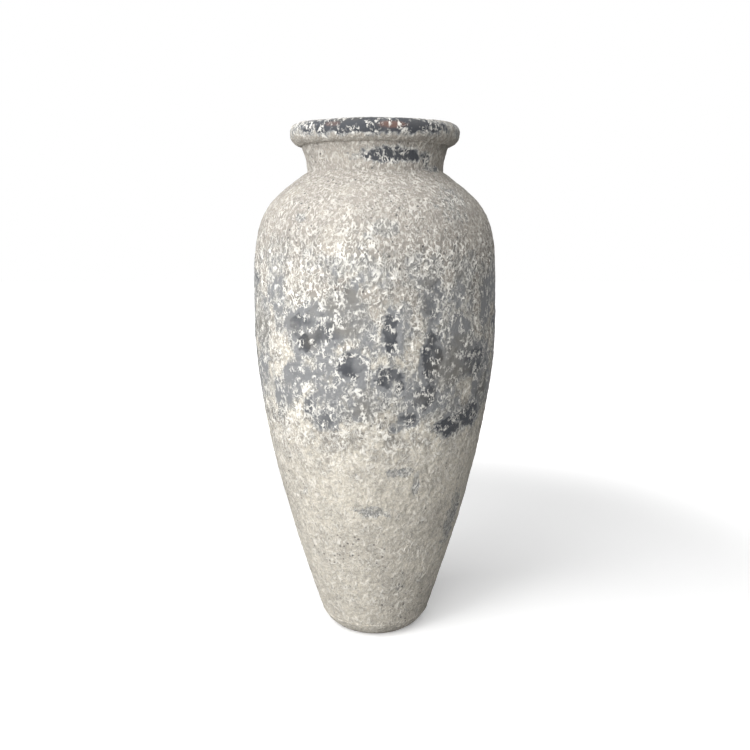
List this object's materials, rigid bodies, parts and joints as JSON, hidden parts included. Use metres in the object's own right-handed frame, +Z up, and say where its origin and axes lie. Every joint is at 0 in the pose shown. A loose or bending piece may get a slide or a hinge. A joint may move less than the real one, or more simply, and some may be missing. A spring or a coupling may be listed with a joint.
{
  "type": "floor vase",
  "caption": "Tall wide-shouldered ceramic floor vase with a narrow bevelled foot, a short concave neck, a rolled rim and a weathered stone-like crust.",
  "frame": {"origin": "centre of the flat foot, on the surface that the vase stands on", "axes": "+Z up along the vase's own axis, -Y towards the viewer of the picture, +X to the viewer's right"},
  "size_m": [0.3764, 0.3764, 0.8],
  "materials": {
    "crusted_ceramic": "rough pale stone-like crust over dark grey clay",
    "dark_ceramic": "matt dark slate-grey clay with worn pale crust",
    "fired_slip": "matt fired slip"
  },
  "bodies": {
    "root": {"base": "dark_ceramic", "lower_wall": "crusted_ceramic", "middle_wall": "crusted_ceramic", "upper_wall": "crusted_ceramic", "shoulder": "crusted_ceramic", "neck": "crusted_ceramic", "rim": "dark_ceramic", "base_joint_slip": "fired_slip", "lower_joint_slip": "fired_slip", "belly_joint_slip": "fired_slip", "shoulder_joint_slip": "fired_slip", "neck_joint_slip": "fired_slip", "rim_joint_slip": "fired_slip"}
  },
  "joints": []
}
